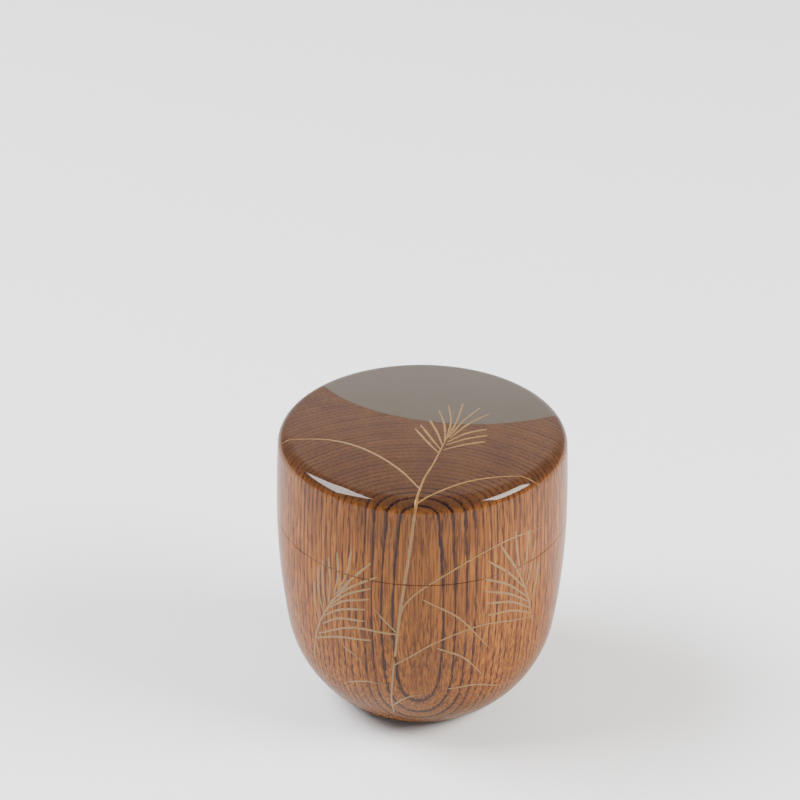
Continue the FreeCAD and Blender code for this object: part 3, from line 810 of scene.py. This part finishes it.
RIBS_PLAN = [
    [(3.4, -12.5), (0.9, -7.8), (-1.7, -2.3)],
    [(3.8, -11.0), (1.5, -5.5), (-0.5, -0.6)],
    [(4.4, -10.0), (3.3, -4.2), (1.6, 1.6)],
    [(4.8, -8.5), (4.9, -1.0), (3.7, 6.3)],
    [(5.0, -7.5), (6.3, 0.5), (5.9, 8.7)],
    [(5.4, -6.5), (7.7, 1.5), (9.2, 9.8)],
    [(5.8, -6.0), (9.0, 1.2), (13.0, 7.8)],
    [(6.0, -6.5), (10.0, -0.2), (15.0, 5.2)],
    [(5.4, -8.0), (9.5, -4.2), (14.4, -1.8)],
    [(5.0, -9.3), (9.5, -6.5), (14.4, -4.6)],
    [(4.4, -11.3), (9.0, -9.0), (13.8, -7.3)],
]

# width in millimetres at even steps from root to tip
STEM_WIDTHS = (0.50, 0.66, 0.70, 0.70, 0.74, 0.68, 0.50, 0.40, 0.38)
LOWER_STEM_WIDTHS = (0.30, 0.42, 0.46, 0.40)
PLUME_STEM_WIDTHS = (0.34, 0.46, 0.50, 0.40)
BLADE_WIDTHS = (0.34, 0.48, 0.44, 0.30, 0.14)
RIB_WIDTHS = (0.26, 0.44, 0.58, 0.62, 0.42)

# a brush's width wavers in two waves, each with its share of the width and its turn per section
SLOW_WAVER, SLOW_TURN = 0.10, 0.35
QUICK_WAVER, QUICK_TURN = 0.06, 1.07
NEXT_WAVER = 1.3                 # so that no two strokes waver alike

# a stroke's share of its full width at its very end, and how fast that grows from there
TIP_WIDTH, TIP_GROWTH = 0.35, 0.45

# a stroke's section, as (share of the half width, share of STROKE_RISE), closed by one point below
CROWN = ((-1.0, -0.25), (-0.72, 0.55), (0.0, 1.0), (0.72, 0.55), (1.0, -0.25))


def front_point(across, height):
    """The point on the caddy's front that shows at (across, height) from the front."""
    flat, _ = surface.at(surface.nearest(MAX_RADIUS, height * MM))
    behind = flat.x ** 2 - (across * MM) ** 2
    return Vector((across * MM, -math.sqrt(max(behind, 0.0)), height * MM))


def plan_point(across, ahead):
    """The point on the lid that shows at (across, ahead) from above."""
    radius = math.hypot(across, ahead) * MM
    height = np.interp(radius, [p.x for p in reversed(lid_outline)], [p.y for p in reversed(lid_outline)])
    return Vector((across * MM, ahead * MM, height))


def spline(points, step, fineness=24):
    """Evenly spaced points on a smooth curve through the given ones."""
    ends = [points[0] * 2 - points[1]] + points + [points[-1] * 2 - points[-2]]
    dense = []
    for a, b, c, d in zip(ends, ends[1:], ends[2:], ends[3:]):
        for k in range(fineness):
            t = k / fineness
            dense.append(((b * 2) + (c - a) * t + (a * 2 - b * 5 + c * 4 - d) * t * t
                          + (b * 3 - a - c * 3 + d) * t ** 3) / 2)
    dense.append(points[-1])
    gaps = [(b - a).length for a, b in zip(dense, dense[1:])]
    marks = np.concatenate([[0], np.cumsum(gaps)])
    count = max(6, round(marks[-1] / step))
    wanted = np.linspace(0, marks[-1], count + 1)
    columns = [np.interp(wanted, marks, [p[k] for p in dense]) for k in range(3)]
    return [Vector(p) for p in zip(*columns)]


def stroke(points, widths, waver):
    """Sections of a painted line on the surface: (centre, across, normal, half width, length)."""
    laid = [surface.lay(p) for p in spline(points, STROKE_STEP)]
    last = len(laid) - 1
    sections = []
    for k, (spot, normal, length) in enumerate(laid):
        before, after = laid[max(k - 1, 0)][0], laid[min(k + 1, last)][0]
        across = (after - before).cross(normal).normalized()
        share = k / last
        width = np.interp(share, np.linspace(0, 1, len(widths)), widths) * MM
        width *= (1 + SLOW_WAVER * math.sin(k * SLOW_TURN + waver)
                  + QUICK_WAVER * math.sin(k * QUICK_TURN + 2 * waver))
        sections_to_end = min(share, 1 - share) * last
        width *= min(1.0, TIP_WIDTH + TIP_GROWTH * math.sqrt(sections_to_end))
        sections.append((spot, across, normal, width / 2, length))
    return sections


def split_at_seam(sections):
    """The runs of sections on the body and on the lid, a little clear of the seam."""
    body = [s for s in sections if s[4] < SEAM_LENGTH - SEAM_CLEAR]
    lid = [s for s in sections if s[4] > SEAM_LENGTH + SEAM_CLEAR]
    return body, lid


class Ribbons:
    """Painted lines gathered into one mesh, each a closed ribbon with a crowned top."""

    def __init__(self):
        self.vertices = []
        self.faces = []

    def add(self, sections):
        if len(sections) < 3:
            return
        first = len(self.vertices)
        size = len(CROWN) + 1
        for spot, across, normal, half, _ in sections:
            for side, rise in CROWN:
                self.vertices.append(spot + across * (side * half) + normal * (rise * STROKE_RISE))
            self.vertices.append(spot - normal * STROKE_SINK)
        for row in range(len(sections) - 1):
            low = first + row * size
            for k in range(size):
                after = (k + 1) % size
                self.faces.append((low + k, low + after, low + size + after, low + size + k))
        self.faces.append(tuple(first + k for k in reversed(range(size))))
        last = first + (len(sections) - 1) * size
        self.faces.append(tuple(last + k for k in range(size)))

    def make(self, name, material, body, node):
        make_piece(name, self.vertices, self.faces, material, body, "gold_dust", node,
                   sharp=DECORATION_SHARP)


def make_grass(material):
    body, lid = Ribbons(), Ribbons()
    stem = [front_point(*p) for p in STEM_FRONT] + [plan_point(*p) for p in STEM_PLAN]
    strokes = [(stem, STEM_WIDTHS)]
    for place, lines, widths in (
            (front_point, [LOWER_STEM], LOWER_STEM_WIDTHS),
            (front_point, BLADES_FRONT, BLADE_WIDTHS),
            (plan_point, BLADES_PLAN, BLADE_WIDTHS),
            (front_point, PLUME_STEMS_FRONT, PLUME_STEM_WIDTHS),
            (front_point, RIBS_FRONT, RIB_WIDTHS),
            (plan_point, RIBS_PLAN, RIB_WIDTHS)):
        strokes += [([place(*p) for p in points], widths) for points in lines]
    for number, (points, widths) in enumerate(strokes):
        on_body, on_lid = split_at_seam(stroke(points, widths, number * NEXT_WAVER))
        body.add(on_body)
        lid.add(on_lid)
    body.make("gold_grass_body", material, "caddy", "body_grass")
    lid.make("gold_grass_lid", material, "lid", "lid_grass")


# The moon covers what lies within MOON_RADIUS of a point at the back, so it is a round disc
# draped over lid and body.
MOON_REACH = 36.5 * MM                 # that point's distance from the turning axis
MOON_HEIGHT = 60.0 * MM
MOON_RADIUS = 36.6 * MM
MOON_TURN = math.radians(180 - 14.6)   # its azimuth, from the front towards +X
MOON_CENTRE = Vector((MOON_REACH * math.sin(MOON_TURN), -MOON_REACH * math.cos(MOON_TURN), MOON_HEIGHT))
MOON_RISE = 0.045 * MM
MOON_SINK = 0.05 * MM
MOON_EDGE = 0.5 * MM                   # over this width the moon rises from its edge
MOON_EDGE_DROP = 0.01 * MM             # how far its very edge lies in the wood
MOON_ROWS, MOON_COLUMNS = 150, 96
MOON_TRIALS = 4000                     # places looked at to find where the moon starts and ends


def moon_half_width(length):
    """Half the angle that the moon covers round the caddy at a length along its outline."""
    flat, _ = surface.at(length)
    if flat.x < TINY:
        return 0.0
    near = MOON_REACH ** 2 + flat.x ** 2 + (flat.y - MOON_HEIGHT) ** 2 - MOON_RADIUS ** 2
    cosine = near / (2 * MOON_REACH * flat.x)
    return math.acos(max(-1.0, min(1.0, cosine)))


def moon_rise(spot, length, start, end):
    """How far the moon's top stands over the wood: full in the middle, and rounded off at every edge."""
    inside = MOON_RADIUS - (spot - MOON_CENTRE).length
    seam_edge = MOON_EDGE * 0.2
    inside = min(inside, length - start + seam_edge, end - length + seam_edge)
    swell = min(1.0, max(0.0, inside) / MOON_EDGE)
    return MOON_RISE * math.sqrt(1 - (1 - swell) ** 2) - MOON_EDGE_DROP


def moon_patch(name, start, end, material, body, node):
    """The moon between two lengths along the outline, as a thin closed layer."""
    covered = [s for s in np.linspace(start, end, MOON_TRIALS) if moon_half_width(s) > 0]
    low, high = covered[0], covered[-1]
    vertices, faces = [], []
    for is_top in (True, False):
        for i in range(MOON_ROWS + 1):
            length = low + (high - low) * (0.5 - 0.5 * math.cos(math.pi * i / MOON_ROWS))
            half = moon_half_width(length)
            for j in range(MOON_COLUMNS + 1):
                across = -math.cos(math.pi * j / MOON_COLUMNS)
                spot, normal = surface.place(length, MOON_TURN + across * half)
                rise = moon_rise(spot, length, start, end) if is_top else -MOON_SINK
                vertices.append(spot + normal * rise)
    wide = MOON_COLUMNS + 1
    under = (MOON_ROWS + 1) * wide
    for i in range(MOON_ROWS):
        for j in range(MOON_COLUMNS):
            a = i * wide + j
            faces.append((a, a + 1, a + wide + 1, a + wide))
            faces.append((under + a, under + a + wide, under + a + wide + 1, under + a + 1))
    edge = list(range(wide))
    edge += [i * wide + MOON_COLUMNS for i in range(1, MOON_ROWS + 1)]
    edge += [MOON_ROWS * wide + j for j in range(MOON_COLUMNS - 1, -1, -1)]
    edge += [i * wide for i in range(MOON_ROWS - 1, 0, -1)]
    for a, b in zip(edge, edge[1:] + edge[:1]):
        faces.append((a, under + a, under + b, b))
    piece = make_piece(name, vertices, faces, material, body, "silver_dust", node, sharp=DECORATION_SHARP)
    # the moon's thin ends need this pass as well as the one that every piece gets
    tidy_mesh(piece)


def make_moon(material):
    moon_patch("silver_moon_body", 0.0, SEAM_LENGTH - SEAM_CLEAR, material, "caddy", "moon_body")
    moon_patch("silver_moon_lid", SEAM_LENGTH + SEAM_CLEAR, surface.length[-1], material, "lid", "moon_lid")


# ---------------------------------------------------------------- the caddy
wood = wood_material()
black = black_lacquer_material()
lathe("turned_body", body_shell_profile(), wood, "caddy", "zelkova_wood", "body_shell")
lathe("tea_cavity_lacquer", body_lining_profile(), black, "caddy", "black_lacquer", "body_lining")
lathe("turned_lid", lid_shell_profile(), wood, "lid", "zelkova_wood", "lid_shell")
lathe("lid_inside_lacquer", lid_lining_profile(), black, "lid", "black_lacquer", "lid_lining")
make_grass(gold_material())
make_moon(silver_material())
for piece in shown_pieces():
    tidy_mesh(piece)


# ---------------------------------------------------------------- studio
STAGE_HALF_WIDTH = 3.0
STAGE_FRONT = -2.5
STAGE_BACK = 1.1                 # where the floor starts to curve up
STAGE_CURVE = 0.6
STAGE_HEIGHT = 2.4

CAMERA_PLACE = (-5.11 * MM, -550.97 * MM, 383.76 * MM)
CAMERA_PITCH = math.radians(90 - 29.2)
CAMERA_ROLL = math.radians(0.267)
CAMERA_LENS = 127.4              # in millimetres, as Blender takes it
CAMERA_SENSOR = 36.0


def make_stage():
    """A pale floor that curves up into a backdrop."""
    profile = [(STAGE_FRONT, 0.0), (STAGE_BACK, 0.0)]
    profile += [(STAGE_BACK + STAGE_CURVE * math.sin(a), STAGE_CURVE * (1 - math.cos(a)))
                for a in np.linspace(0.1, math.pi / 2, 12)]
    profile.append((STAGE_BACK + STAGE_CURVE, STAGE_HEIGHT))
    vertices = [(x, y, z) for y, z in profile for x in (-STAGE_HALF_WIDTH, STAGE_HALF_WIDTH)]
    faces = [(2 * k, 2 * k + 1, 2 * k + 3, 2 * k + 2) for k in range(len(profile) - 1)]
    mesh = bpy.data.meshes.new("floor")
    mesh.from_pydata(vertices, [], faces)
    mesh.shade_smooth()
    mesh.materials.append(floor_material())
    floor = bpy.data.objects.new("floor", mesh)
    bpy.context.scene.collection.objects.link(floor)


def make_light(name, direction, distance, size, power, colour, target=(0.0, 0.0, TOP / 2)):
    """A softbox in a direction from the caddy, which it faces unless it has another target."""
    light = bpy.data.lights.new(name, "AREA")
    light.shape = "RECTANGLE"
    light.size, light.size_y = size
    light.energy = power
    light.color = colour
    lamp = bpy.data.objects.new(name, light)
    lamp.location = Vector((0, 0, TOP / 2)) + Vector(direction).normalized() * distance
    lamp.rotation_euler = (Vector(target) - lamp.location).to_track_quat("-Z", "Y").to_euler()
    bpy.context.scene.collection.objects.link(lamp)


def make_world(colour, strength):
    world = bpy.data.worlds.new("studio")
    world.use_nodes = True
    background = world.node_tree.nodes["Background"]
    background.inputs["Color"].default_value = (*colour, 1)
    background.inputs["Strength"].default_value = strength
    bpy.context.scene.world = world


def make_camera():
    camera = bpy.data.cameras.new("camera")
    camera.lens = CAMERA_LENS
    camera.sensor_width = CAMERA_SENSOR
    camera.clip_start, camera.clip_end = 0.01, 20.0
    holder = bpy.data.objects.new("camera", camera)
    turn = Matrix.Rotation(CAMERA_PITCH, 4, "X") @ Matrix.Rotation(CAMERA_ROLL, 4, "Z")
    holder.matrix_world = Matrix.Translation(CAMERA_PLACE) @ turn
    bpy.context.scene.collection.objects.link(holder)
    bpy.context.scene.camera = holder


make_stage()
make_world(colour=(0.94, 0.96, 1.0), strength=0.42)
make_light("left_softbox", direction=(-0.63, 0.03, 0.77), distance=1.1, size=(0.65, 0.58),
           power=33.0, colour=(1.0, 0.98, 0.98))
make_light("right_softbox", direction=(0.79, -0.22, 0.58), distance=1.1, size=(0.60, 0.42),
           power=30.0, colour=(1.0, 0.95, 0.88))
make_light("backdrop_softbox", direction=(0.0, 0.57, 0.82), distance=1.55, size=(1.6, 0.5),
           power=13.5, colour=(1.0, 0.96, 0.88), target=(0.0, 1.7, 0.9))
make_camera()
